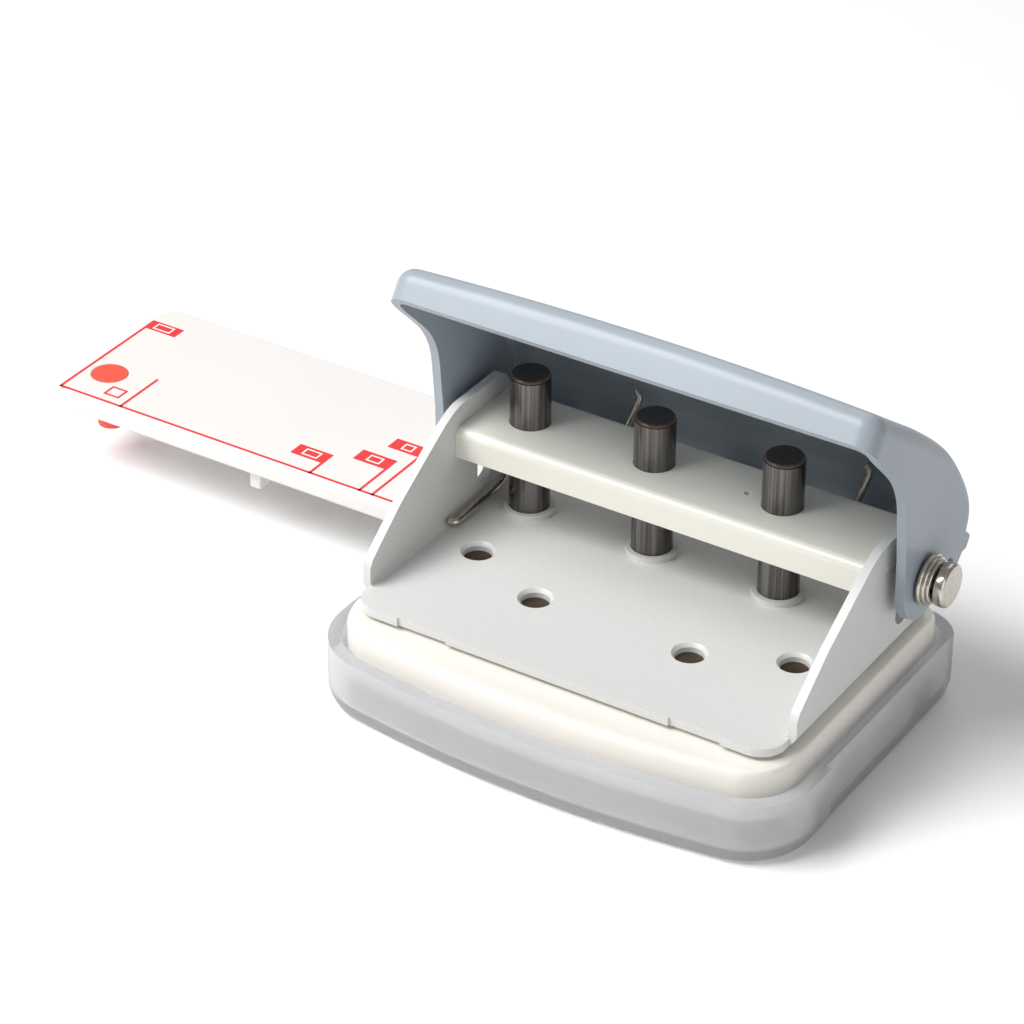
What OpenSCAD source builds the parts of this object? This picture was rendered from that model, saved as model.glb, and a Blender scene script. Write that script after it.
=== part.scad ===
// Compact three-hole paper punch with a lifting handle, a slide-in size guide
// and a clip-on chip tray. The origin is on the underside of the tray, below
// the line of the pins and midway between the two ears of the frame.
// +X runs along the row of pins, +Y towards the side the paper comes from.

/* [Punch pins] */
// Distance between neighbouring pins
pin_pitch = 19; // [18:0.25:20]
// Diameter of a pin
pin_d = 5.5; // [5:0.1:5.6]
// Height of the outer pins above the bed plate
pin_height = 21; // [19.5:0.25:21]
// How much lower the middle pin stands
pin_step = 0.36; // [0:0.02:0.6]
// Sideways shift of the middle pin from the frame's centre
pin_shift = -4.75; // [-5:0.25:-4]

/* [Frame] */
// Thickness of the frame's sheet
sheet = 1.2; // [1:0.1:1.4]
// Width over the two ears
frame_w = 64.1; // [63:0.1:65]
// Front edge of the bed plate
frame_front = -31.8; // [-33:0.2:-31]
// Rear edge of the bed plate and the ears
frame_back = 9.2; // [8.8:0.1:9.4]
// Height of the ears above the bed plate
ear_height = 16.6; // [16:0.1:17]

/* [Bridge] */
// Top of the bridge above the bed plate
bridge_top = 13.6; // [13:0.1:14]
// Front face of the bridge
bridge_front = -7.2; // [-8:0.1:-7]
// Rear face of the bridge
bridge_back = 6.7; // [6:0.1:6.8]

/* [Handle] */
// Width over the handle's side walls
handle_w = 69.8; // [69.4:0.1:70.2]
// Thickness of the handle's sheet
handle_t = 1.3; // [1.1:0.1:1.4]
// Plan radius of the handle's front corners
handle_corner = 2.8; // [2.4:0.2:6]
// Rounding along the handle's sides
side_r = 2; // [1.5:0.25:3]
// Rise of the handle's middle over its sides
handle_crown = 0.9; // [0.3:0.1:1.2]
// Pivot behind the pins
pivot_y = 6.6; // [6.4:0.1:6.8]
// Pivot above the bed plate
pivot_z = 7.3; // [7.1:0.1:7.5]
// Diameter of the pivot shaft
pivot_d = 3.2; // [3:0.1:3.3]

/* [Cross shaft] */
// Height of the cross shaft above the bed plate, handle up
cross_z = 9.9; // [9.6:0.1:10.2]
// Diameter of the cross shaft
cross_d = 3.4; // [3.2:0.1:3.5]
// Diameter of the push head
head_d = 6; // [5.4:0.1:6.4]

/* [Base and tray] */
// Half width of the chip tray
tray_half_w = 35.3; // [34.8:0.1:36]
// Front of the tray at its corners
tray_front = -37.7; // [-39:0.1:-37]
// How far the middle of the front bows out
tray_bow = 2; // [1:0.1:3]
// Rear of the tray
tray_back = 14.5; // [14:0.1:15]
// Height of the tray's rim
rim_z = 9.2; // [8.6:0.1:9.2]
// Wall of the tray
tray_wall = 1.8; // [1.5:0.1:2]
// Gap that the paper enters
slot_h = 0.6; // [0.5:0.05:0.8]
// Distance from the hole centres to the paper's edge
edge_margin = 6.4; // [6:0.1:6.8]

/* [Size guide] */
// Length of the guide's slab
guide_l = 66.4; // [60:0.2:70]
// Width of the guide
guide_w = 28; // [27:0.2:28.4]
// Thickness of the guide
guide_t = 3.2; // [2.8:0.1:3.2]

/* [Hidden] */
$fn = 40;

eps = 0.02;
fit = 0.05;                                // running clearance on a radius
bed_z = 14.4;                              // top of the bed plate
shelf_z = bed_z - sheet - slot_h;          // top of the paper shelf
base_z = 5.6;                              // lower edge of the base's skirt
base_in = 2.6;                             // how far the base stands inside the tray's outline
wall = 1.8;                                // walls of the base
pin_r = pin_d / 2;
cross_r = cross_d / 2;
pivot_r = pivot_d / 2;
half_ear = frame_w / 2;
half_handle = handle_w / 2;
pin_xs = [for (i = [-1:1]) pin_shift + i * pin_pitch];
screw_at = [[-23.75, -12.65], [-11.5, -18], [11.5, -18], [23.75, -12.65]];
screw_r = 1.9;
spring_wire = 1.0;
tongue_y = 5.4;                            // tongue of the size guide in the base
tongue_z = shelf_z - guide_t;
tongue_w = 5;
tongue_h = 1.4;
lock_wire = 0.66;
coil_r = 2.25;                             // middle of the wire in a torsion spring
lug_hole_r = cross_r + 0.24;               // loose hole that lets the shaft keep upright
head_x = half_handle + 2.5;                // inner face of the push head

// ---------- outlines ----------

// rounded rectangle between two corners, with true arcs
module rounded(low, high, r) {
    translate([low.x + r, low.y]) square([high.x - low.x - 2 * r, high.y - low.y]);
    translate([low.x, low.y + r]) square([high.x - low.x, high.y - low.y - 2 * r]);
    for (x = [low.x + r, high.x - r], y = [low.y + r, high.y - r])
        translate([x, y]) circle(r);
}

// points of an arc, from one angle to another
function arc(c, r, from, to, n) = [for (i = [0:n]) let (a = from + (to - from) * i / n)
    [c.x + r * cos(a), c.y + r * sin(a)]];

// plan of the tray, drawn in by a distance: straight sides and back, bowed front
function plan(d) =
    let (w = tray_half_w - d, f = tray_front + d, b = tray_back - d, rf = 9.8 - d, rb = 6.5 - d)
    concat([for (i = [-6:6]) let (x = (w - rf) * i / 6) [x, f - tray_bow * (1 - pow(i / 6, 2))]],
           arc([w - rf, f + rf], rf, -75, 0, 6), arc([w - rb, b - rb], rb, 0, 90, 6),
           arc([-w + rb, b - rb], rb, 90, 180, 6), arc([-w + rf, f + rf], rf, 180, 255, 6));

// slab of that plan between two heights
module plan_slab(d, z0, z1) translate([0, 0, z0]) linear_extrude(z1 - z0) polygon(plan(d));

// a side view drawn as [y, z] above the bed plate, extruded along X
module along_x(x0, x1) translate([x0, 0, bed_z]) rotate([90, 0, 90]) linear_extrude(x1 - x0) children();

// a front view drawn as [x, z] above the bed plate, extruded along Y
module along_y(y0, y1) translate([0, y1, bed_z]) rotate([90, 0, 0]) linear_extrude(y1 - y0) children();

// bar along X
module bar_x(x0, x1, r, y, z) translate([x0, y, bed_z + z]) rotate([0, 90, 0]) cylinder(h = x1 - x0, r = r);

// round wire swept along a list of points
function unit(v) = v / norm(v);
function tangent(p, i) = unit(p[min(i + 1, len(p) - 1)] - p[max(i - 1, 0)]);
module wire(p, r, sides = 8) {
    rings = [for (i = [0:len(p) - 1]) let (t = tangent(p, i), ref = abs(t.x) > 0.8 ? [0, 0, 1] : [1, 0, 0],
             u = unit(cross(t, ref)), v = cross(t, u))
             for (k = [0:sides - 1]) p[i] + r * (cos(360 * k / sides) * u + sin(360 * k / sides) * v)];
    last = (len(p) - 1) * sides;
    polyhedron(rings, concat(
        [[for (k = [0:sides - 1]) k]], [[for (k = [sides - 1:-1:0]) last + k]],
        [for (i = [0:len(p) - 2], k = [0:sides - 1]) let (a = i * sides, n = (k + 1) % sides)
            [a + n, a + k, a + sides + k, a + sides + n]]));
}

// ---------- base and tray ----------

module tray_skin(d, z0, z1, soft) hull() {
    plan_slab(d + soft, z0, z0 + eps);
    plan_slab(d + soft * 0.3, z0 + soft * 0.3, z0 + soft * 0.3 + eps);
    plan_slab(d, z0 + soft, z1);
}

module chip_tray() color([0.86, 0.88, 0.9, 0.6]) difference() {
    union() {
        difference() {
            tray_skin(0, 0, rim_z, 2);
            tray_skin(tray_wall, 1.2, rim_z + 1, 1.2);
        }
        // ledges that the base's skirt stands on
        for (side = [-1, 1], y = [-26, 1]) translate([side * 32 - 2, y, 1]) cube([4, 5, base_z - 1]);
    }
    // the rear part of each side stands back a little from the front part
    for (side = [-1, 1]) translate([side * tray_half_w - 0.8, -23.5, -1]) cube([1.6, 60, 20]);
}

module base_housing() color([0.95, 0.93, 0.87]) difference() {
    union() {
        hull() {
            plan_slab(base_in, base_z, shelf_z - 1.2);
            plan_slab(base_in + 0.4, shelf_z - 0.4, shelf_z - 0.4 + eps);
            plan_slab(base_in + 1.3, shelf_z - eps, shelf_z);
        }
        // step that the bed plate sits on and the paper stops against
        translate([0, 0, shelf_z - 1]) linear_extrude(slot_h + 1) intersection() {
            rounded([-half_ear + 1.8, frame_front + 1.1], [half_ear - 1.8, 5], 2.9);
            translate([-50, -50]) square([100, 50 - edge_margin]);
        }
    }
    difference() {
        plan_slab(base_in + wall, base_z - 1, shelf_z - 2.4);
        for (p = screw_at) translate([p.x, p.y, 0]) cylinder(h = shelf_z, r = 4.2);
        // channel for the guide's tongue
        translate([-33, 4.6, 7.6]) cube([40, 8, 6]);
    }
    // slot for the tongue
    translate([-40, tongue_y - 0.1, tongue_z - 0.05]) cube([46, tongue_w + 0.2, tongue_h + 0.1]);
    // seat and chip holes of the die plate
    translate([pin_xs[0] - 5.2, -4.7, shelf_z - 1.5]) cube([2 * pin_pitch + 10.4, 9.4, 3]);
    for (x = pin_xs) translate([x, 0, 0]) cylinder(h = shelf_z, r = pin_r + 0.7);
    for (p = screw_at) translate([p.x, p.y, 0]) {
        cylinder(h = 20, r = screw_r + 0.2);
        cylinder(h = 7.6, r = 3.7);
        translate([0, 0, shelf_z - 1.4]) cylinder(h = 5, r = 2.9);
    }
}

module die_plate() color([0.72, 0.72, 0.72]) difference() {
    translate([pin_xs[0] - 5.1, -4.6, shelf_z - 1.5]) cube([2 * pin_pitch + 10.2, 9.2, 1.5]);
    for (x = pin_xs) translate([x, 0, 0]) cylinder(h = 30, r = pin_r + fit);
}

module base_screws() color([0.42, 0.36, 0.28]) for (p = screw_at) translate([p.x, p.y, 6]) difference() {
    union() {
        cylinder(h = 1.6, r = 3.4);
        cylinder(h = bed_z - sheet - 6, r = screw_r);
    }
    for (a = [0, 90]) rotate([0, 0, a]) translate([-1.9, -0.35, -1]) cube([3.8, 0.7, 1.9]);
}

// ---------- frame ----------

ear_curve = [[-27.4, 2.6], [-26.8, 3.7], [-25.1, 5.1], [-20.2, 8.9], [-13.2, 13.2], [-9.6, 15.3],
             [-7.6, 16.2], [-6, ear_height], [4, ear_height], [5.4, 15.8], [7, 13.2], [8.7, 9.8]];

module frame() color([0.85, 0.85, 0.83]) difference() {
    union() {
        intersection() {
            along_y(frame_front, frame_back) difference() {
                rounded([-half_ear, -sheet], [half_ear, 30], 1.9);
                rounded([-half_ear + sheet, 0], [half_ear - sheet, 40], 0.7);
            }
            along_x(-50, 50) polygon(concat([[frame_back, -5], [-27.4, -5]], ear_curve,
                arc([pivot_y, pivot_z], frame_back - pivot_y, 40, 0, 5)));
        }
        // bed plate in front of the ears
        translate([0, 0, bed_z - sheet]) linear_extrude(sheet)
            rounded([-half_ear + 1, frame_front], [half_ear - 1, -20], 3.6);
        // raised collars round the pins
        for (x = pin_xs) translate([x, 0, bed_z - eps]) cylinder(h = 0.8, r = pin_r + 0.75);
        // drawn collars that take the base screws
        for (p = screw_at) translate([p.x, p.y, bed_z - sheet - 1.2]) cylinder(h = 1.5, r = 2.7);
    }
    for (x = pin_xs) translate([x, 0, 0]) cylinder(h = 30, r = pin_r + fit);
    for (p = screw_at) translate([p.x, p.y, 0]) {
        cylinder(h = 30, r = screw_r + fit);
        translate([0, 0, bed_z - 0.5]) cylinder(h = 0.5 + eps, r1 = screw_r + fit, r2 = 2.4);
    }
    // slots that the cross shaft travels in
    for (z = [3.8, cross_z + 0.2]) bar_x(-50, 50, cross_r + 0.1, 0, z);
    translate([-50, -cross_r - 0.1, bed_z + 3.8]) cube([100, cross_d + 0.2, cross_z - 3.6]);
    bar_x(-50, 50, pivot_r + 0.02, pivot_y, pivot_z);
    // mortises for the bridge's tenons
    translate([-50, -5.6, bed_z + bridge_top - 1.3]) cube([100, 3.2, 1.2]);
    // shallow notches in the front edge
    for (x = [-23.8, 16.4]) translate([x, frame_front - 1, 0]) cube([7.4, 1.35, 30]);
}

module bridge() color([0.93, 0.92, 0.86]) difference() {
    union() {
        along_x(-half_ear + sheet + eps, half_ear - sheet - eps) difference() {
            union() {
                rounded([bridge_front, 0], [bridge_back, bridge_top], 1.2);
                translate([bridge_front, 0]) square([bridge_back - bridge_front, 9]);
            }
            translate([bridge_front + 1.4, -1]) square([bridge_back - bridge_front - 2.8, 10]);
            rounded([bridge_front + 1.4, 0], [bridge_back - 1.4, bridge_top - 1.4], 0.5);
            translate([-20, -1]) square([20, 10.3]);
            translate([0, -1]) square([20, 11.9]);
        }
        translate([-half_ear, -5.55, bed_z + bridge_top - 1.25]) cube([frame_w, 3.1, 1.1]);
    }
    for (x = pin_xs) translate([x, 0, 0]) cylinder(h = 40, r = pin_r + fit);
    translate([pin_xs[1] + 13.9, 0, 20]) cylinder(h = 20, r = 0.5);
}

// ---------- pins ----------

module pin(i) color([0.62, 0.6, 0.58]) translate([pin_xs[i], 0, bed_z]) {
    top = pin_height - (i == 1 ? pin_step : 0) - 0.5;
    difference() {
        translate([0, 0, -1.1]) cylinder(h = top + 1.1, r = pin_r);
        translate([0, 0, top - 1.4]) cylinder(h = 5, r = 1.9);
        translate([-10, 0, cross_z]) rotate([0, 90, 0]) cylinder(h = 20, r = cross_r + fit);
        // hollow cutting edge
        translate([-10, 0, -8.2]) rotate([0, 90, 0]) cylinder(h = 20, r = 7.6);
    }
}

module pin_cap(i) color([0.1, 0.09, 0.08]) translate([pin_xs[i], 0, bed_z]) {
    top = pin_height - (i == 1 ? pin_step : 0) - 0.5;
    translate([0, 0, top]) cylinder(h = 0.3, r = pin_r - 0.1);
    translate([0, 0, top + 0.3]) cylinder(h = 0.2, r1 = pin_r - 0.1, r2 = pin_r - 0.3);
    translate([0, 0, top - 1.3]) cylinder(h = 1.4, r = 1.9);
}

module pin_left() pin(0);
module pin_centre() pin(1);
module pin_right() pin(2);
module pin_cap_left() pin_cap(0);
module pin_cap_centre() pin_cap(1);
module pin_cap_right() pin_cap(2);

// ---------- shafts, clips and springs ----------

module cross_shaft() color([0.66, 0.64, 0.6]) {
    difference() {
        bar_x(-half_handle - 1.9, head_x + 0.1, cross_r, 0, cross_z);
        clip_ring(-half_handle - 1.2, cross_z, 0, 1.3, 4);
    }
    bar_x(head_x, head_x + 1.1, head_d / 2, 0, cross_z);
    translate([head_x + 1.1, 0, bed_z + cross_z]) rotate([0, 90, 0])
        cylinder(h = 0.3, r1 = head_d / 2, r2 = head_d / 2 - 0.3);
}

// a flat ring round a shaft, 0.6 thick, with a gap in a retaining clip
module clip_ring(x, z, y, r_in, r_out) difference() {
    bar_x(x, x + 0.6, r_out, y, z);
    bar_x(x - 1, x + 2, r_in, y, z);
}

module clip(x, z, y, r_groove) difference() {
    clip_ring(x, z, y, r_groove, r_groove + 1.3);
    translate([x - 1, y - r_groove * 0.8, bed_z + z - 6]) cube([3, r_groove * 1.6, 6]);
}

module shaft_clip() color([0.3, 0.3, 0.3]) clip(-half_handle - 1.2, cross_z, 0, 1.3);

module pivot_shaft() color([0.25, 0.25, 0.25]) difference() {
    bar_x(-half_handle + 0.4, half_handle - 0.4, pivot_r, pivot_y, pivot_z);
    for (x = clip_xs) clip_ring(x, pivot_z, pivot_y, 1.2, 4);
}

clip_xs = [-half_ear + sheet + 0.1, half_ear - sheet - 0.7];

module pivot_clips() color([0.3, 0.3, 0.3]) for (x = clip_xs) clip(x, pivot_z, pivot_y, 1.2);

// conical spring between the handle and the push head
module lock_spring() color([0.75, 0.73, 0.68]) {
    turns = 3.4;
    steps = 76;
    wire([for (i = [0:steps]) let (s = i / steps, a = -360 * turns * s, r = 3.35 - 0.9 * s)
        [half_handle + lock_wire / 2 + eps + (head_x - half_handle - lock_wire - 2 * eps) * s,
         r * cos(a), bed_z + cross_z + r * sin(a)]], lock_wire / 2);
}

// torsion spring: one leg forward on the bed plate beside the ear, the coil
// round the pivot shaft, the other leg up against the inside of the handle
module torsion_spring(x_out, x_in, turns) {
    side = sign(x_out);
    steps = round(14 * turns);
    c = [pivot_y, bed_z + pivot_z];
    coil = [for (i = [0:steps]) let (s = i / steps, a = -90 - 360 * turns * s)
        [x_out + (x_in - x_out) * s, c.x + coil_r * cos(a), c.y + coil_r * sin(a)]];
    foot = [[x_out + side * 1.1, -9.7, bed_z + 0.75], [x_out + side * 0.5, -9.6, bed_z + 0.62],
            [x_out, -9, bed_z + 0.6], [x_out, 1.6, bed_z + 1.1], [x_out, 4.4, bed_z + 4.1]];
    arm = [[x_in + 0.3, c.x + 0.9, c.y + 3.1], [x_in + 0.6, c.x + 2.2, c.y + 4.8],
           [x_in + 1.3, c.x + 3.8, c.y + 8.2], [x_in + 0.5, c.x + 4.1, c.y + 8.7]];
    wire(concat(foot, coil, arm), spring_wire / 2);
}

module spring_left() color([0.62, 0.6, 0.55]) torsion_spring(-29.3, -14.4, 8.417);
module spring_right() color([0.62, 0.6, 0.55]) torsion_spring(29.3, 20, 6.417);

// ---------- handle ----------

// side view of the raised handle's outer face along its middle, from the front
// lip over the top and down the rear flap, as [y, z, share of the side fall]
tilt = 35;                                 // slope of the raised top at its front
front_top = [-14.5, 41.7];                 // where the lip and the top would meet
front_in = [cos(tilt), -sin(tilt)];        // rearwards along the top
front_down = [-sin(tilt), -cos(tilt)];     // down the front lip
nose_r = 2.5;                              // rounding between the lip and the top
function nose(a) = front_top + nose_r * ((1 - cos(a)) * front_in + (1 - sin(a)) * front_down);
outer_line = concat([concat(front_top + 18 * front_down, 0)],
    [for (a = [0:30:90]) concat(nose(a), a / 90)],
    [[-1.5, 32.6, 1], [4.1, 28.2, 1], [7.8, 24.7, 1], [11.3, 20.2, 1], [13.6, 16, 0.9],
     [14.1, 12.8, 0.7], [13.2, 9.7, 0.5], [11.2, 6.7, 0.3], [7, 0, 0]]);

// points across the handle, closer together over the rounded sides
function across(d) = let (flat = half_handle - side_r, r = side_r - d) concat(
    [for (a = [90:-22.5:0]) -flat - r * sin(a)], [for (k = [-2:2]) k * flat / 3],
    [for (a = [0:22.5:90]) flat + r * sin(a)]);

// fall of the top below its middle
function fall(x, d) = let (e = abs(x) - half_handle + side_r, r = side_r - d)
    handle_crown * pow(x / half_handle, 2) + (e > 0 ? r - sqrt(max(0, r * r - e * e)) : 0);

// side view at one place across, moved in by the sheet's thickness
function rib(x, d) = concat([for (i = [0:len(outer_line) - 1])
    let (p = outer_line[i], m = outer_line[max(i - 1, 0)], n = outer_line[min(i + 1, len(outer_line) - 1)],
         t = unit([n.x - m.x, n.y - m.y]), in = d + fall(x, d) * p.z)
        [x, p.x + in * t.y, bed_z + p.y - in * t.x]], [[x, -20, bed_z + 10]]);

module handle_core(d) {
    ribs = [for (x = across(d)) rib(x, d)];
    n = len(ribs[0]);
    last = len(ribs) - 1;
    intersection() {
        polyhedron([for (r = ribs) each r], concat(
            [[for (k = [n - 1:-1:0]) k]], [[for (k = [0:n - 1]) last * n + k]],
            [for (i = [0:last - 1], k = [0:n - 1]) let (j = (k + 1) % n)
                each [[i * n + k, i * n + j, (i + 1) * n + j],
                      [i * n + k, (i + 1) * n + j, (i + 1) * n + k]]]));
        // plan of the handle, square to its front lip
        translate([0, front_top.x, bed_z + front_top.y]) rotate([-tilt, 0, 0])
            translate([0, 0, -60]) linear_extrude(80)
                rounded([-half_handle + d, d], [half_handle - d, 70], handle_corner - d);
    }
}

// what is left of the shell in side view: lip, side wall, lug and rear flap
wall_view = concat(
    [[-26, 37.5], [-17.6, 37.5], [-15, 34.3], [-11.5, 30.8], [-9.2, 28.3], [-7.7, 25.8], [-6.9, 23.3],
     [-6.4, 19.3], [-5.9, 15.1]],
    arc([0, cross_z], 5.7, 180, 290, 10),
    [[6.6, 4.3], [8.6, 6], [10.6, 8], [16, 8], [16, 44], [-26, 44]]);

module handle() color([0.66, 0.71, 0.76]) difference() {
    intersection() {
        difference() {
            handle_core(0);
            handle_core(handle_t);
        }
        along_x(-60, 60) polygon(wall_view);
    }
    bar_x(-60, 60, pivot_r + fit, pivot_y, pivot_z);
    // long holes let the cross shaft keep to its upright slots
    for (y = [-0.1, 0.6]) bar_x(-60, 60, lug_hole_r, y, cross_z);
    translate([-60, -0.1, bed_z + cross_z - lug_hole_r]) cube([120, 0.7, 2 * lug_hole_r]);
    // slits between the side walls and the rear flap
    for (x = [-half_handle - 1, half_handle - 3]) along_x(x, x + 4)
        polygon([[11.2, 14.8], [11.5, 14.8], [10.2, 6], [9.9, 6]]);
}

// ---------- size guide ----------

guide_x = -tray_half_w + base_in - 0.25;   // right end of the slab, against the base
guide_y = -7.5;
guide_left = guide_x - guide_l;
locator = [guide_left + 5.1, 0.2];

module size_guide() color([0.96, 0.95, 0.92]) {
    difference() {
        union() {
            hull() for (e = [[0, 0.7], [0.6, 0]]) translate([0, 0, shelf_z - guide_t + e.x])
                linear_extrude(guide_t - 2 * e.x)
                    rounded([guide_left + e.y, guide_y + e.y],
                            [guide_x + 10, guide_y + guide_w - e.y], 3.8 - e.y);
            // small rib under the front edge
            translate([-65.4, guide_y + 1.2, shelf_z - guide_t - 2.6]) cube([1.8, 2.6, 3]);
        }
        // square end that butts against the base
        translate([guide_x, guide_y - 1, 0]) cube([20, guide_w + 2, 20]);
        translate([locator.x, locator.y, 0]) {
            cylinder(h = 20, r = 1.9 + fit);
            translate([0, 0, shelf_z - 1.2]) cylinder(h = 5, r = 2.6 + fit);
        }
    }
    // tongue that slides in the base
    translate([guide_x - 1, tongue_y, tongue_z + 0.1]) cube([30, tongue_w, tongue_h - 0.1]);
}

module locating_pin() color([0.9, 0.25, 0.2]) translate([locator.x, locator.y, 0]) {
    translate([0, 0, shelf_z - 1.2]) cylinder(h = 1.15, r = 2.6);
    translate([0, 0, shelf_z - guide_t - 3.2]) cylinder(h = guide_t + 2.1, r = 1.9);
    translate([0, 0, shelf_z - guide_t - 4.9]) cylinder(h = 1.8, r = 2.1);
}

chip_tray();
base_housing();
die_plate();
base_screws();
frame();
bridge();
pin_left();
pin_centre();
pin_right();
pin_cap_left();
pin_cap_centre();
pin_cap_right();
cross_shaft();
shaft_clip();
lock_spring();
pivot_shaft();
pivot_clips();
spring_left();
spring_right();
handle();
size_guide();
locating_pin();
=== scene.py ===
import bpy
import bmesh
import math
from mathutils import Matrix, Vector
from mathutils.geometry import interpolate_bezier


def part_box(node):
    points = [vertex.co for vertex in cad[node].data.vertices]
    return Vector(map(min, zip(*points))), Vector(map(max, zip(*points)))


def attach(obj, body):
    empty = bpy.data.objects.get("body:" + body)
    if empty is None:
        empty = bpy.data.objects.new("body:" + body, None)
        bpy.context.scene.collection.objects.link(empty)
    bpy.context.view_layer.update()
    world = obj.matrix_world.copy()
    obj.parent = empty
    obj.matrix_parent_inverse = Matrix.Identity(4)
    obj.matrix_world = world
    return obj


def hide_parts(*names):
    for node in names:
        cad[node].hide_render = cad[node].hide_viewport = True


# The punch is drawn in millimetres in the row frame and brought to metres as each piece is placed.
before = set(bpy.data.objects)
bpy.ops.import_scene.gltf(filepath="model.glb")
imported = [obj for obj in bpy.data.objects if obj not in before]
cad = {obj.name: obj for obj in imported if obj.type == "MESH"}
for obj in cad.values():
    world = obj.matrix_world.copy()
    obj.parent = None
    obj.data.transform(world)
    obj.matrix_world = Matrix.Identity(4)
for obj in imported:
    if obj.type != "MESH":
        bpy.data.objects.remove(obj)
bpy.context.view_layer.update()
mm = 0.001
scene = bpy.context.scene
scene.view_settings.view_transform = "Standard"
print("frame loaded")

bedTop = 14.4           # top of the bed plate
shelfTop = 12.6         # top of the paper shelf and of the size guide
pivot = (6.6, 21.7)     # handle pivot, y and z
crossZ = 24.3           # cross shaft, handle up


# finishes, each with its own small variation

def newFinish(name, colour, roughness, metal=0.0, coat=0.0, coatRoughness=0.1):
    finish = bpy.data.materials.new(name)
    finish.use_nodes = True
    shader = finish.node_tree.nodes["Principled BSDF"]
    shader.inputs["Base Color"].default_value = (*colour, 1)
    shader.inputs["Roughness"].default_value = roughness
    shader.inputs["Metallic"].default_value = metal
    shader.inputs["Coat Weight"].default_value = coat
    shader.inputs["Coat Roughness"].default_value = coatRoughness
    finish.diffuse_color = (*colour, 1)
    return finish


def objectNoise(finish, scale, detail=3.0, stretch=(1, 1, 1)):
    # noise on Object coordinates, scale in features per metre
    tree = finish.node_tree
    place = tree.nodes.new("ShaderNodeTexCoord")
    mapping = tree.nodes.new("ShaderNodeMapping")
    mapping.inputs["Scale"].default_value = stretch
    noise = tree.nodes.new("ShaderNodeTexNoise")
    noise.inputs["Scale"].default_value = scale
    noise.inputs["Detail"].default_value = detail
    tree.links.new(place.outputs["Object"], mapping.inputs["Vector"])
    tree.links.new(mapping.outputs["Vector"], noise.inputs["Vector"])
    return noise


def tintByNoise(finish, noise, low, high, dark, light):
    # the noise runs the colour from dark to light between its low and high values
    tree = finish.node_tree
    ramp = tree.nodes.new("ShaderNodeValToRGB")
    ramp.color_ramp.elements[0].position = low
    ramp.color_ramp.elements[1].position = high
    ramp.color_ramp.elements[0].color = (*dark, 1)
    ramp.color_ramp.elements[1].color = (*light, 1)
    tree.links.new(noise.outputs["Fac"], ramp.inputs["Fac"])
    tree.links.new(ramp.outputs["Color"], tree.nodes["Principled BSDF"].inputs["Base Color"])


def roughenByNoise(finish, noise, low, high):
    tree = finish.node_tree
    spread = tree.nodes.new("ShaderNodeMapRange")
    spread.inputs["To Min"].default_value = low
    spread.inputs["To Max"].default_value = high
    tree.links.new(noise.outputs["Fac"], spread.inputs["Value"])
    tree.links.new(spread.outputs["Result"], tree.nodes["Principled BSDF"].inputs["Roughness"])


def bumpByNoise(finish, noise, strength, height):
    tree = finish.node_tree
    bump = tree.nodes.new("ShaderNodeBump")
    bump.inputs["Strength"].default_value = strength
    bump.inputs["Distance"].default_value = height
    tree.links.new(noise.outputs["Fac"], bump.inputs["Height"])
    tree.links.new(bump.outputs["Normal"], tree.nodes["Principled BSDF"].inputs["Normal"])


def blueLacquer():
    # semi-gloss blue-grey paint with a faint orange-peel skin
    finish = newFinish("blueLacquer", (0.31, 0.353, 0.397), 0.43, coat=0.1, coatRoughness=0.24)
    tintByNoise(finish, objectNoise(finish, 60), 0.3, 0.7, (0.30, 0.342, 0.385), (0.32, 0.364, 0.409))
    bumpByNoise(finish, objectNoise(finish, 900, 2), 0.12, 0.00004)
    return finish


def greyLacquer():
    # pale grey paint with fine specks in it
    finish = newFinish("greyLacquer", (0.63, 0.63, 0.61), 0.42, coat=0.15, coatRoughness=0.25)
    tintByNoise(finish, objectNoise(finish, 3600, 2), 0.26, 0.5, (0.585, 0.585, 0.57), (0.645, 0.645, 0.63))
    bumpByNoise(finish, objectNoise(finish, 2600, 2), 0.12, 0.00002)
    return finish


def creamEnamel():
    finish = newFinish("creamEnamel", (0.80, 0.785, 0.70), 0.38, coat=0.3, coatRoughness=0.2)
    tintByNoise(finish, objectNoise(finish, 700, 4), 0.2, 0.34, (0.72, 0.70, 0.61), (0.80, 0.785, 0.705))
    bumpByNoise(finish, objectNoise(finish, 1200, 2), 0.1, 0.00003)
    return finish


def turnedSteel():
    # streaks along the pins from drawing and polishing
    finish = newFinish("turnedSteel", (0.145, 0.137, 0.133), 0.26, metal=1)
    streaks = objectNoise(finish, 2600, 3, (1, 1, 0.012))
    tintByNoise(finish, streaks, 0.35, 0.65, (0.095, 0.089, 0.085), (0.20, 0.19, 0.184))
    roughenByNoise(finish, streaks, 0.16, 0.32)
    return finish


def blackCap():
    finish = newFinish("blackCap", (0.007, 0.006, 0.005), 0.36, coat=0.1, coatRoughness=0.25)
    roughenByNoise(finish, objectNoise(finish, 2200, 3), 0.3, 0.5)
    return finish


def brownRim():
    finish = newFinish("brownRim", (0.075, 0.04, 0.022), 0.3, coat=0.4, coatRoughness=0.15)
    roughenByNoise(finish, objectNoise(finish, 2200, 3), 0.22, 0.4)
    return finish


def warmNickel():
    finish = newFinish("warmNickel", (0.60, 0.56, 0.49), 0.2, metal=1)
    grain = objectNoise(finish, 1800, 4)
    tintByNoise(finish, grain, 0.3, 0.7, (0.52, 0.475, 0.40), (0.66, 0.62, 0.56))
    roughenByNoise(finish, grain, 0.14, 0.3)
    return finish


def darkSteel(name="darkSteel", colour=(0.16, 0.15, 0.145)):
    finish = newFinish(name, colour, 0.35, metal=1)
    roughenByNoise(finish, objectNoise(finish, 1500, 4), 0.25, 0.5)
    return finish


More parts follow.
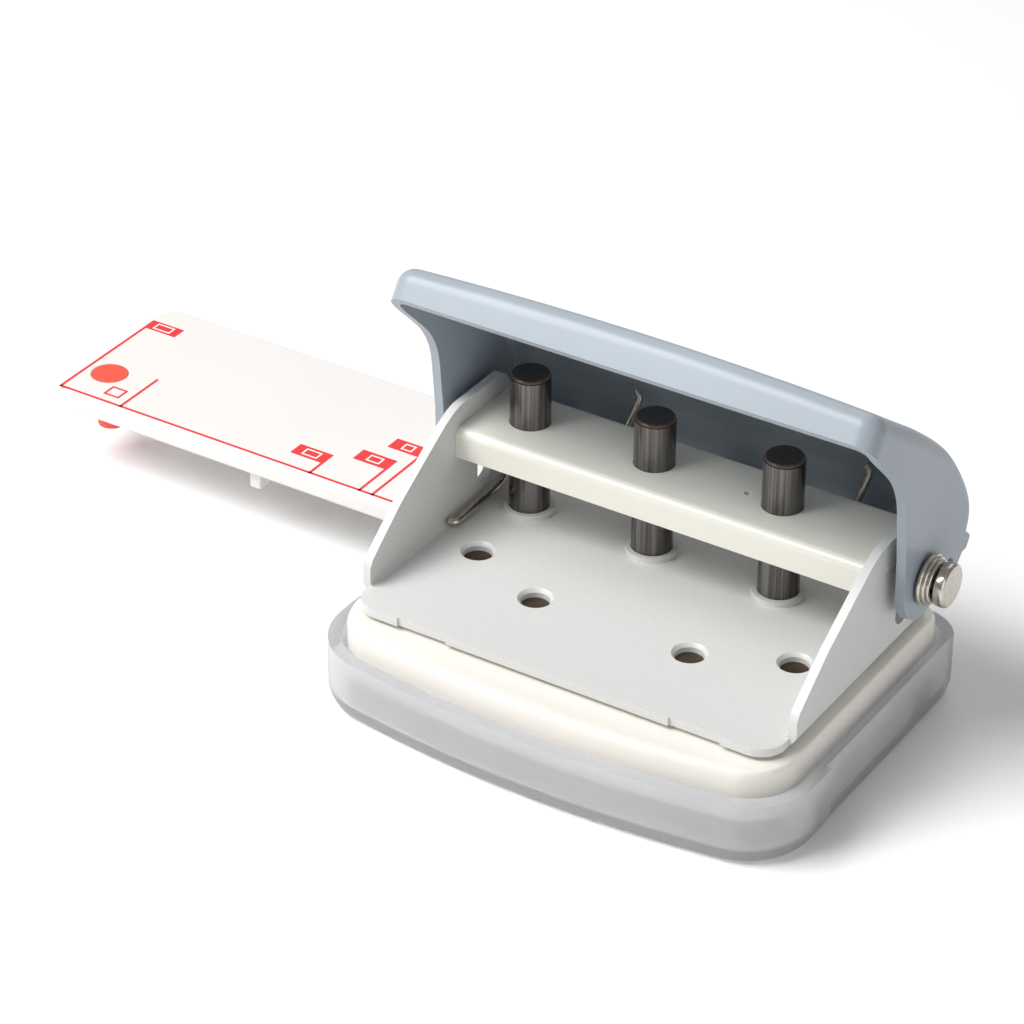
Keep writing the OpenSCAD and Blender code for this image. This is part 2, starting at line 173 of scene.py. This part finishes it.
def ivoryPlastic():
    finish = newFinish("ivoryPlastic", (0.80, 0.77, 0.715), 0.34, coat=0.1, coatRoughness=0.2)
    shader = finish.node_tree.nodes["Principled BSDF"]
    shader.inputs["Subsurface Weight"].default_value = 0.15
    shader.inputs["Subsurface Radius"].default_value = (0.002, 0.0015, 0.001)
    shader.inputs["Subsurface Scale"].default_value = 0.6
    tintByNoise(finish, objectNoise(finish, 45), 0.3, 0.7, (0.79, 0.76, 0.705), (0.81, 0.78, 0.725))
    bumpByNoise(finish, objectNoise(finish, 1500, 2), 0.08, 0.00002)
    return finish


def frostedPlastic():
    # cloudy see-through plastic, etched on its faces
    finish = newFinish("frostedPlastic", (0.91, 0.915, 0.93), 0.36)
    shader = finish.node_tree.nodes["Principled BSDF"]
    shader.inputs["Transmission Weight"].default_value = 0.7
    shader.inputs["IOR"].default_value = 1.42
    clouds = objectNoise(finish, 70, 4)
    tintByNoise(finish, clouds, 0.3, 0.72, (0.89, 0.895, 0.91), (0.93, 0.935, 0.95))
    roughenByNoise(finish, clouds, 0.3, 0.44)
    bumpByNoise(finish, objectNoise(finish, 1100, 3), 0.12, 0.00004)
    return finish


def whitePlastic():
    finish = newFinish("whitePlastic", (0.755, 0.73, 0.705), 0.36, coat=0.1, coatRoughness=0.25)
    tintByNoise(finish, objectNoise(finish, 50), 0.3, 0.7, (0.748, 0.722, 0.697), (0.762, 0.738, 0.713))
    bumpByNoise(finish, objectNoise(finish, 1500, 2), 0.08, 0.00002)
    return finish


def printInk(name, colour):
    finish = newFinish(name, colour, 0.42)
    roughenByNoise(finish, objectNoise(finish, 2500, 2), 0.36, 0.5)
    return finish


def floorPaper():
    finish = newFinish("floorPaper", (0.93, 0.93, 0.93), 0.8)
    tintByNoise(finish, objectNoise(finish, 3), 0.3, 0.7, (0.925, 0.925, 0.925), (0.935, 0.935, 0.935))
    return finish


finishes = {
    "blue": blueLacquer(), "grey": greyLacquer(), "cream": creamEnamel(), "steel": turnedSteel(),
    "black": blackCap(), "brown": brownRim(), "nickel": warmNickel(), "dark": darkSteel(),
    "zinc": darkSteel("zincScrew", (0.13, 0.10, 0.075)), "ivory": ivoryPlastic(),
    "frosted": frostedPlastic(), "white": whitePlastic(),
    "redInk": printInk("redInk", (0.72, 0.03, 0.035)), "whiteInk": printInk("whiteInk", (0.86, 0.84, 0.79)),
    "orangeRed": printInk("orangeRedPlastic", (0.88, 0.085, 0.05)),
}
print("finishes mixed")


# how pieces are made, softened and placed

def shadeByCorner(mesh, corner):
    mesh.shade_smooth()
    mesh.set_sharp_from_angle(angle=math.radians(corner))


def placePiece(mesh, name, body, finish, nodes=(), corner=35):
    piece = bpy.data.objects.new(name, mesh)
    scene.collection.objects.link(piece)
    mesh.materials.clear()
    mesh.materials.append(finishes[finish])
    shadeByCorner(mesh, corner)
    if nodes:
        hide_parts(*nodes)
    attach(piece, body)
    return piece


def meshFrom(bm, name):
    # millimetres to metres, closed and facing out
    bmesh.ops.scale(bm, vec=(mm, mm, mm), verts=bm.verts)
    bmesh.ops.remove_doubles(bm, verts=bm.verts, dist=1e-7)
    bmesh.ops.recalc_face_normals(bm, faces=bm.faces)
    mesh = bpy.data.meshes.new(name)
    bm.to_mesh(mesh)
    bm.free()
    return mesh


def finished(piece):
    # applies what modifiers a piece still has
    made = bpy.data.meshes.new_from_object(piece.evaluated_get(bpy.context.evaluated_depsgraph_get()))
    piece.modifiers.clear()
    piece.data = made
    return made


def evenShading(piece):
    # keeps large flats flat next to their rounded edges
    weigh = piece.modifiers.new("shading", "WEIGHTED_NORMAL")
    weigh.keep_sharp = True
    finished(piece)
    return piece


def roundEdges(bm, size, corner, segments=3):
    sharp = [e for e in bm.edges if len(e.link_faces) == 2 and e.calc_face_angle(0) > math.radians(corner)]
    bmesh.ops.bevel(bm, geom=sharp, offset=size, segments=segments, profile=0.5, affect="EDGES",
                    clamp_overlap=True, material=-1)


def softened(node, name, body, finish, edge=0.15, corner=38, segments=2):
    # a merged copy of a CAD piece with its sharp edges broken
    bm = bmesh.new()
    bm.from_mesh(cad[node].data)
    bmesh.ops.remove_doubles(bm, verts=bm.verts, dist=2e-6)
    bmesh.ops.dissolve_limit(bm, angle_limit=math.radians(0.6), verts=bm.verts, edges=bm.edges)
    roundEdges(bm, edge * mm, corner, segments)
    mesh = bpy.data.meshes.new(name)
    bm.to_mesh(mesh)
    bm.free()
    return evenShading(placePiece(mesh, name, body, finish, [node]))


def paintNode(node, finish):
    cad[node].data.materials.clear()
    cad[node].data.materials.append(finishes[finish])


# handle, pressed from one sheet

handle = {
    "halfWidth": 34.9, "gauge": 1.3, "crown": 0.9, "planCorner": 2.8, "sideRound": 2.2, "edge": 0.22,
    "tilt": 35, "front": (-14.5, 41.7),
    # outer face along the middle as y and z above the bed, with its share of the crown
    "line": [(-16.957, 43.421, 1), (-10.404, 38.832, 1), (-6.309, 35.964, 1), (-1.5, 32.6, 1), (4.1, 28.2, 1),
             (7.8, 24.7, 1), (11.3, 20.2, 1), (13.6, 16, 0.9), (14.1, 12.8, 0.7), (13.2, 9.7, 0.5),
             (11.2, 6.7, 0.3), (7, 0, 0)],
    "columns": (-35.9, -29, -22, -14.5, -7, 0, 7, 14.5, 22, 29, 35.9),
    # front edge of the side walls, from the lip down to the lug
    "wallEdge": [(-17.6, 37.5), (-15, 34.3), (-11.5, 30.8), (-9.2, 28.3), (-7.7, 25.8), (-6.9, 23.3),
                 (-6.4, 19.3), (-5.9, 15.1)],
    "lug": (0, 9.9, 5.7), "pivotHole": 1.65, "shaftHole": 1.94,
}


def onCurve(points, along):
    # smooth line through evenly counted points
    spans = len(points) - 1
    k = min(int(along * spans), spans - 1)
    t = along * spans - k
    a, b, c, d = [Vector(points[max(0, min(spans, k + i))]) for i in (-1, 0, 1, 2)]
    curve = 2 * b + (c - a) * t + (2 * a - 5 * b + 4 * c - d) * t * t
    return 0.5 * (curve + (3 * b - 3 * c + d - a) * t ** 3)


def prism(bm, outline, low, high, place):
    # flat outline drawn up between two heights, then put in its place
    rings = [[bm.verts.new(place @ Vector((u, v, h))) for u, v in outline] for h in (low, high)]
    bm.faces.new(rings[0][::-1])
    bm.faces.new(rings[1])
    for k in range(len(outline)):
        n = (k + 1) % len(outline)
        bm.faces.new((rings[0][k], rings[0][n], rings[1][n], rings[1][k]))


def handlePlan(inset):
    # plan square to the front lip, with round front corners
    w, r = handle["halfWidth"] - inset, handle["planCorner"] - inset
    turns = [math.radians(9 * k) for k in range(11)]
    corner = [(w - r + r * math.sin(a), inset + r - r * math.cos(a)) for a in turns]
    return corner + [(w, 70), (-w, 70)] + [(-x, s) for x, s in reversed(corner)]


def handleBlock(bm, inset, below):
    # solid block under the handle's outer face, moved in by the inset
    h = handle
    spans = len(h["line"]) - 1
    shares = [0] + [1 / spans + (spans - 1) / spans * k / (4 * (spans - 1)) for k in range(4 * (spans - 1) + 1)]
    down = Vector((0, -math.sin(math.radians(h["tilt"])), -math.cos(math.radians(h["tilt"])))) * below
    rings = []
    for x in h["columns"]:
        ring = []
        for share in shares:
            p = onCurve(h["line"], share)
            way = onCurve(h["line"], min(1, share + 0.003)) - onCurve(h["line"], max(0, share - 0.003))
            inward = Vector((0, way.y, -way.x)).normalized()
            depth = inset + h["crown"] * (x / h["halfWidth"]) ** 2 * p.z
            ring.append(Vector((x, p.x, p.y + bedTop)) + inward * depth)
        ring += [ring[-1] + down, ring[0] + down]
        rings.append([bm.verts.new(spot) for spot in ring])
    count = len(rings[0])
    for near, far in zip(rings, rings[1:]):
        for k in range(count):
            n = (k + 1) % count
            bm.faces.new((near[k], near[n], far[n], far[k]))
    bm.faces.new(rings[0])
    bm.faces.new(rings[-1][::-1])


def cutter(name, build):
    bm = bmesh.new()
    build(bm)
    mesh = meshFrom(bm, name)
    tool = bpy.data.objects.new(name, mesh)
    scene.collection.objects.link(tool)
    return tool


def combined(piece, tools, operation="DIFFERENCE"):
    for tool in tools:
        cut = piece.modifiers.new(tool.name, "BOOLEAN")
        cut.operation = operation
        cut.solver = "EXACT"
        cut.object = tool
    finished(piece)
    for tool in tools:
        bpy.data.objects.remove(tool)


def barAlongX(bm, x0, x1, y, z, radius, sides=48):
    turn = Matrix.Rotation(math.radians(90), 4, "Y")
    bmesh.ops.create_cone(bm, cap_ends=True, segments=sides, radius1=radius, radius2=radius, depth=x1 - x0,
                          matrix=Matrix.Translation(((x0 + x1) / 2, y, z)) @ turn)


def handlePan(name, inset, below):
    # block cut to the plan, its rim rounded over
    h = handle
    tilt = math.radians(h["tilt"])
    up = Vector((0, math.sin(tilt), math.cos(tilt)))
    place = Matrix.Translation((0, h["front"][0], h["front"][1] + bedTop)) @ Matrix.Rotation(-tilt, 4, "X")
    pan = cutter(name, lambda b: handleBlock(b, inset, below))
    combined(pan, [cutter(name + "Plan", lambda b: prism(b, handlePlan(inset), -80, 12, place))], "INTERSECT")
    bm = bmesh.new()
    bm.from_mesh(pan.data)
    bmesh.ops.remove_doubles(bm, verts=bm.verts, dist=1e-6)
    rim = []
    for e in bm.edges:
        if len(e.link_faces) == 2:
            rises = sorted(f.normal.dot(up) for f in e.link_faces)
            if abs(rises[0]) < 0.1 and rises[1] > 0.2:
                rim.append(e)
    bmesh.ops.bevel(bm, geom=rim, offset=(h["sideRound"] - inset) * mm, segments=7, profile=0.5,
                    affect="EDGES", clamp_overlap=False, material=-1)
    bm.to_mesh(pan.data)
    bm.free()
    return pan


def buildHandle():
    h = handle
    shell = handlePan("handle_shell", 0, 34)
    combined(shell, [handlePan("handleHollow", h["gauge"], 38)])
    # side view of what is left: lip, side walls, lugs and rear flap
    spans = len(h["wallEdge"]) - 1
    edge = [tuple(onCurve(h["wallEdge"], k / (5 * spans))) for k in range(5 * spans + 1)]
    y, z, r = h["lug"]
    turns = [math.radians(180 + 5.5 * k) for k in range(21)]
    lug = [(y + r * math.cos(a), z + r * math.sin(a)) for a in turns]
    view = [(-26, 37.5)] + edge + lug + [(6.6, 4.3), (8.6, 6), (10.6, 8), (17, 8), (17, 46), (-26, 46)]
    side = Matrix(((0, 0, 1, 0), (1, 0, 0, 0), (0, 1, 0, bedTop), (0, 0, 0, 1)))
    slit = [(11.25, 14.8), (11.55, 14.8), (10.1, 6), (9.8, 6)]
    for k, (low, high) in enumerate(((-36.6, -31.87), (31.91, 36.7))):
        combined(shell, [cutter("slit%d" % k, lambda b: prism(b, slit, low, high, side))])
    combined(shell, [cutter("wallView", lambda b: prism(b, view, -60, 60, side))], "INTERSECT")
    tools = [cutter("pivotDrill", lambda b: barAlongX(b, -50, 50, pivot[0], pivot[1], h["pivotHole"]))]
    for k, y in enumerate((-0.1, 0.25, 0.6)):
        drill = lambda b, y=y, k=k: barAlongX(b, -50 - k, 50 + k, y, crossZ, h["shaftHole"])
        tools.append(cutter("shaftDrill%d" % k, drill))
    for tool in tools:
        combined(shell, [tool])
    bm = bmesh.new()
    bm.from_mesh(shell.data)
    bpy.data.objects.remove(shell)
    bmesh.ops.dissolve_limit(bm, angle_limit=math.radians(0.3), verts=bm.verts, edges=bm.edges)
    bmesh.ops.dissolve_degenerate(bm, edges=bm.edges, dist=4e-6)
    roundEdges(bm, h["edge"] * mm, 50, 3)
    mesh = bpy.data.meshes.new("handle_shell")
    bm.to_mesh(mesh)
    bm.free()
    return evenShading(placePiece(mesh, "handle_shell", "handle", "blue", ["handle"], corner=40))


buildHandle()
print("handle pressed")


# springs bent from wire

wires = {
    "torsion": {"diameter": 1.0, "coil": 2.25, "perTurn": 28},
    "lock": {"diameter": 0.66, "big": 3.35, "small": 2.45, "turns": 3.4},
}


def wirePiece(name, points, diameter, body, nodes):
    line = bpy.data.curves.new(name, "CURVE")
    line.dimensions = "3D"
    line.bevel_depth = diameter / 2 * mm
    line.bevel_resolution = 4
    line.use_fill_caps = True
    run = line.splines.new("POLY")
    run.points.add(len(points) - 1)
    for spot, p in zip(run.points, points):
        spot.co = (p[0] * mm, p[1] * mm, p[2] * mm, 1)
    shape = bpy.data.objects.new(name + "_line", line)
    scene.collection.objects.link(shape)
    mesh = bpy.data.meshes.new_from_object(shape.evaluated_get(bpy.context.evaluated_depsgraph_get()))
    bpy.data.objects.remove(shape)
    bm = bmesh.new()
    bm.from_mesh(mesh)
    bmesh.ops.remove_doubles(bm, verts=bm.verts, dist=1e-7)
    bmesh.ops.recalc_face_normals(bm, faces=bm.faces)
    bm.to_mesh(mesh)
    bm.free()
    return placePiece(mesh, name, body, "nickel", nodes, corner=50)


def bentLeg(points, radius=0.8):
    # rounds the bends of a leg
    line = [Vector(points[0])]
    for a, b, c in zip(points, points[1:], points[2:]):
        a, b, c = Vector(a), Vector(b), Vector(c)
        r = min(radius, (a - b).length / 2.2, (c - b).length / 2.2)
        start, end = b + (a - b).normalized() * r, b + (c - b).normalized() * r
        line += interpolate_bezier(start, b.lerp(start, 0.45), b.lerp(end, 0.45), end, 6)
    return line + [Vector(points[-1])]


def torsionPoints(xOut, xIn, turns):
    w = wires["torsion"]
    side = 1 if xOut > 0 else -1
    steps = round(turns * w["perTurn"])
    y, z = pivot
    coil = []
    for k in range(steps + 1):
        a = math.radians(-90 - 360 * turns * k / steps)
        coil.append((xOut + (xIn - xOut) * k / steps, y + w["coil"] * math.cos(a), z + w["coil"] * math.sin(a)))
    foot = [(xOut + side * 1.1, -9.7, bedTop + 0.75), (xOut + side * 0.1, -9.3, bedTop + 0.62),
            (xOut, 1.6, bedTop + 1.1), (xOut, 4.4, bedTop + 4.1), coil[0]]
    arm = [coil[-1], (xIn + 0.3, y + 0.9, z + 3.1), (xIn + 0.6, y + 2.2, z + 4.8),
           (xIn + 1.3, y + 3.8, z + 8.2), (xIn + 0.5, y + 4.1, z + 8.7)]
    return bentLeg(foot)[:-1] + [Vector(p) for p in coil] + bentLeg(arm)[1:]


wirePiece("torsion_spring_left", torsionPoints(-29.3, -14.4, 8.417), wires["torsion"]["diameter"], "base",
          ["spring_left"])
wirePiece("torsion_spring_right", torsionPoints(29.3, 20, 6.417), wires["torsion"]["diameter"], "base",
          ["spring_right"])


def lockPoints():
    w = wires["lock"]
    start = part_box("lock_spring")[0].x / mm + w["diameter"] / 2
    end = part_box("lock_spring")[1].x / mm - w["diameter"] / 2
    steps = 110
    line = []
    for k in range(steps + 1):
        s = k / steps
        a = math.radians(-360 * w["turns"] * s)
        r = w["big"] + (w["small"] - w["big"]) * s
        line.append((start + (end - start) * s, r * math.cos(a), crossZ + r * math.sin(a)))
    return line


wirePiece("lock_spring_wire", lockPoints(), wires["lock"]["diameter"], "cross_shaft", ["lock_spring"])
print("springs wound")


# frame, bridge, pins and shafts

softened("frame", "frame_pressing", "base", "grey", 0.22, 38, 2)
softened("bridge", "bridge_channel", "base", "cream", 0.2, 38, 2)
for place in ("left", "centre", "right"):
    softened("pin_" + place, "punch_pin_" + place, "punch", "steel", 0.12, 38, 2)
    cap = softened("pin_cap_" + place, "pin_end_" + place, "punch", "black", 0.06, 38, 2)
    cap.data.materials.append(finishes["brown"])
    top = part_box("pin_cap_" + place)[1].z
    for face in cap.data.polygons:
        if face.center.z > top - 0.0006 and face.normal.z < 0.93:
            face.material_index = 1
softened("cross_shaft", "push_shaft", "cross_shaft", "nickel", 0.12, 38, 3)
for node, finish in (("shaft_clip", "dark"), ("pivot_shaft", "dark"), ("pivot_clips", "dark"),
                     ("die_plate", "steel"), ("base_screws", "zinc")):
    paintNode(node, finish)
print("metalwork finished")


# base, tray, guide and the guide's print

softened("base_housing", "base_moulding", "base", "ivory", 0.25, 38, 3)
softened("chip_tray", "tray_moulding", "tray", "frosted", 0.28, 38, 3)
softened("size_guide", "guide_slab", "guide", "white", 0.25, 38, 3)
softened("locating_pin", "locating_button", "locator", "orangeRed", 0.12, 38, 2)

guidePrint = {
    "line": 0.42, "ink": 0.03, "whiteInk": 0.045,
    # straight strokes as two ends
    "strokes": [((-97.9, -6.4), (-39.4, -6.4)), ((-97.9, -6.4), (-97.9, 15.4)), ((-87.4, -6.4), (-87.4, 2.2)),
                ((-55.1, -6.4), (-55.1, -1.4)), ((-46.9, -6.4), (-46.9, 2.2)), ((-44.8, -6.4), (-44.8, 7.3))],
    # tags as low corner and high corner
    "tags": [((-98.1, 13.3), (-92.6, 15.7)), ((-60.4, -3.5), (-54.9, -0.9)), ((-52.3, -0.1), (-46.7, 2.6)),
             ((-50.0, 5.0), (-44.6, 7.6))],
    # small drawing of a sheet beside the tick
    "sheets": [((-91.6, -4.9), (-88.9, -2.5))],
}


def inkBlock(bm, low, high, thick):
    size = Vector((high[0] - low[0], high[1] - low[1], thick))
    middle = Vector(((low[0] + high[0]) / 2, (low[1] + high[1]) / 2, shelfTop + thick / 2 - 0.01))
    bmesh.ops.create_cube(bm, size=1, matrix=Matrix.Translation(middle) @ Matrix.Diagonal((*size, 1)))


def inkOutline(bm, low, high, width, thick):
    (x0, y0), (x1, y1) = low, high
    inkBlock(bm, (x0, y0), (x1, y0 + width), thick)
    inkBlock(bm, (x0, y1 - width), (x1, y1), thick)
    inkBlock(bm, (x0, y0 + width), (x0 + width, y1 - width), thick)
    inkBlock(bm, (x1 - width, y0 + width), (x1, y1 - width), thick)


def printGuide():
    g = guidePrint
    half = g["line"] / 2
    red = bmesh.new()
    for (x0, y0), (x1, y1) in g["strokes"]:
        inkBlock(red, (x0 - half, y0 - half), (x1 + half, y1 + half), g["ink"])
    for low, high in g["tags"]:
        inkBlock(red, low, high, g["ink"] + 0.005)
    for low, high in g["sheets"]:
        inkOutline(red, low, high, 0.35, g["ink"])
    placePiece(meshFrom(red, "guide_print_red"), "guide_print_red", "guide", "redInk")
    white = bmesh.new()
    for k, (low, high) in enumerate(g["tags"]):
        middle = ((low[0] + high[0]) / 2, (low[1] + high[1]) / 2)
        half = (1.5 - 0.2 * k, 0.8)
        near = (middle[0] - half[0], middle[1] - half[1])
        far = (middle[0] + half[0], middle[1] + half[1])
        inkOutline(white, near, far, 0.25, g["whiteInk"])
    placePiece(meshFrom(white, "guide_print_white"), "guide_print_white", "guide", "whiteInk")


printGuide()
print("plastic parts finished")


# floor, light and camera

studio = {
    "key": ((-0.33, -0.30, 0.56), 0.42, 6.2), "fill": ((0.58, -0.36, 0.2), 0.5, 0.9),
    "back": ((-0.15, 0.55, 0.50), 0.5, 0.8), "air": 0.29,
}


def areaLight(name, spot, size, power):
    lamp = bpy.data.lights.new(name, "AREA")
    lamp.shape = "SQUARE"
    lamp.size = size
    lamp.energy = power
    holder = bpy.data.objects.new(name, lamp)
    scene.collection.objects.link(holder)
    holder.location = spot
    holder.rotation_mode = "QUATERNION"
    aim = Vector((-0.01, -0.01, 0.02)) - Vector(spot)
    holder.rotation_quaternion = aim.to_track_quat("-Z", "Y")


def layFloor():
    bm = bmesh.new()
    bmesh.ops.create_grid(bm, x_segments=2, y_segments=2, size=3000)
    floor = bpy.data.objects.new("floor", meshFrom(bm, "floor"))
    scene.collection.objects.link(floor)
    floor.data.materials.append(floorPaper())


layFloor()
for name in ("key", "fill", "back"):
    areaLight(name, *studio[name])
world = bpy.data.worlds.new("studio")
world.use_nodes = True
world.node_tree.nodes["Background"].inputs["Color"].default_value = (1, 1, 1, 1)
world.node_tree.nodes["Background"].inputs["Strength"].default_value = studio["air"]
scene.world = world

shot = {"spot": (0.209412, -0.376639, 0.294871), "right": (0.8447, 0.5351, 0.0081),
        "up": (-0.2926, 0.4491, 0.8442), "lens": 137.76}
lens = bpy.data.cameras.new("camera")
lens.lens = shot["lens"]
lens.sensor_width = 36
lens.clip_start = 0.01
camera = bpy.data.objects.new("camera", lens)
scene.collection.objects.link(camera)
right = Vector(shot["right"]).normalized()
away = right.cross(Vector(shot["up"])).normalized()
facing = Matrix((right, away.cross(right), away)).transposed().to_4x4()
camera.matrix_world = Matrix.Translation(shot["spot"]) @ facing
scene.camera = camera
print("studio set")
